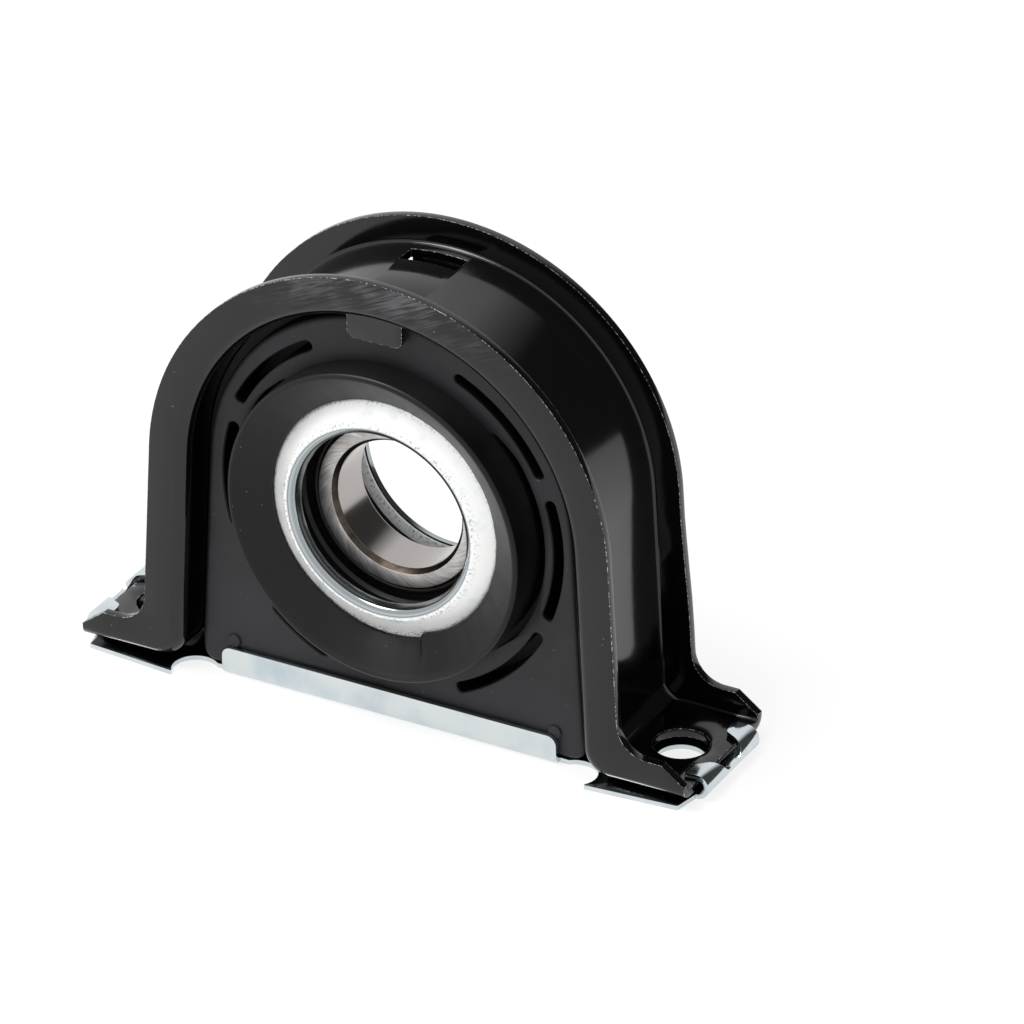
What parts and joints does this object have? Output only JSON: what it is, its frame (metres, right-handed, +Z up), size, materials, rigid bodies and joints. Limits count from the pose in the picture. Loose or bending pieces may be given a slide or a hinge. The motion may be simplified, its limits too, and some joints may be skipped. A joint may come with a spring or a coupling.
{
  "type": "driveshaft centre bearing",
  "caption": "Hanger bearing for a two-piece driveshaft: a sealed ball bearing in a rubber cushion, held by a pressed steel arch bracket with bolt-down feet on a plated base plate.",
  "frame": {"origin": "centre of the base plate's underside, on the ground plane", "axes": "+Z up from the base plate, Y along the shaft with the pictured front towards -Y, X along the row of the two feet"},
  "size_m": [0.2276, 0.0588, 0.1599],
  "materials": {
    "black_paint": "black dip paint on pressed steel, half gloss",
    "zinc_plate": "bright zinc plating on sheet steel",
    "moulded_rubber": "moulded black rubber, matt",
    "bearing_steel": "ground bearing steel",
    "seal_rubber": "black nitrile rubber, half gloss",
    "ball_steel": "polished steel balls",
    "cage_steel": "pressed sheet steel"
  },
  "bodies": {
    "housing": {"bracket": "black_paint", "base_plate": "zinc_plate", "rubber_cushion": "moulded_rubber", "retainer_front": "zinc_plate", "retainer_rear": "zinc_plate", "outer_ring": "bearing_steel", "front_seal": "seal_rubber", "rear_seal": "seal_rubber"},
    "inner_ring": {"inner_ring": "bearing_steel"},
    "cage": {"cage_front": "cage_steel", "cage_rear": "cage_steel"},
    "ball_01": {"ball_01": "ball_steel"},
    "ball_02": {"ball_02": "ball_steel"},
    "ball_03": {"ball_03": "ball_steel"},
    "ball_04": {"ball_04": "ball_steel"},
    "ball_05": {"ball_05": "ball_steel"},
    "ball_06": {"ball_06": "ball_steel"},
    "ball_07": {"ball_07": "ball_steel"},
    "ball_08": {"ball_08": "ball_steel"},
    "ball_09": {"ball_09": "ball_steel"}
  },
  "joints": [
    {"name": "inner_ring_spin", "type": "hinge", "parent": "housing", "child": "inner_ring", "pos_m": [0, -0.0035, 0.074], "axis": [0, 1, 0], "continuous": true},
    {"name": "cage_spin", "type": "hinge", "parent": "housing", "child": "cage", "pos_m": [0, -0.0035, 0.074], "axis": [0, 1, 0], "continuous": true},
    {"name": "ball_01_spin", "type": "hinge", "parent": "cage", "child": "ball_01", "pos_m": [0, -0.0035, 0.1068], "axis": [0, 1, 0], "continuous": true},
    {"name": "ball_02_spin", "type": "hinge", "parent": "cage", "child": "ball_02", "pos_m": [0.02108, -0.0035, 0.09913], "axis": [0, 1, 0], "continuous": true},
    {"name": "ball_03_spin", "type": "hinge", "parent": "cage", "child": "ball_03", "pos_m": [0.0323, -0.0035, 0.0797], "axis": [0, 1, 0], "continuous": true},
    {"name": "ball_04_spin", "type": "hinge", "parent": "cage", "child": "ball_04", "pos_m": [0.02841, -0.0035, 0.0576], "axis": [0, 1, 0], "continuous": true},
    {"name": "ball_05_spin", "type": "hinge", "parent": "cage", "child": "ball_05", "pos_m": [0.01122, -0.0035, 0.04318], "axis": [0, 1, 0], "continuous": true},
    {"name": "ball_06_spin", "type": "hinge", "parent": "cage", "child": "ball_06", "pos_m": [-0.01122, -0.0035, 0.04318], "axis": [0, 1, 0], "continuous": true},
    {"name": "ball_07_spin", "type": "hinge", "parent": "cage", "child": "ball_07", "pos_m": [-0.02841, -0.0035, 0.0576], "axis": [0, 1, 0], "continuous": true},
    {"name": "ball_08_spin", "type": "hinge", "parent": "cage", "child": "ball_08", "pos_m": [-0.0323, -0.0035, 0.0797], "axis": [0, 1, 0], "continuous": true},
    {"name": "ball_09_spin", "type": "hinge", "parent": "cage", "child": "ball_09", "pos_m": [-0.02108, -0.0035, 0.09913], "axis": [0, 1, 0], "continuous": true}
  ],
  "couplings": [
    {"joint": "cage_spin", "follows": "inner_ring_spin", "ratio": 0.4032},
    {"joint": "ball_01_spin", "follows": "inner_ring_spin", "ratio": -2.4859},
    {"joint": "ball_02_spin", "follows": "inner_ring_spin", "ratio": -2.4859},
    {"joint": "ball_03_spin", "follows": "inner_ring_spin", "ratio": -2.4859},
    {"joint": "ball_04_spin", "follows": "inner_ring_spin", "ratio": -2.4859},
    {"joint": "ball_05_spin", "follows": "inner_ring_spin", "ratio": -2.4859},
    {"joint": "ball_06_spin", "follows": "inner_ring_spin", "ratio": -2.4859},
    {"joint": "ball_07_spin", "follows": "inner_ring_spin", "ratio": -2.4859},
    {"joint": "ball_08_spin", "follows": "inner_ring_spin", "ratio": -2.4859},
    {"joint": "ball_09_spin", "follows": "inner_ring_spin", "ratio": -2.4859}
  ]
}
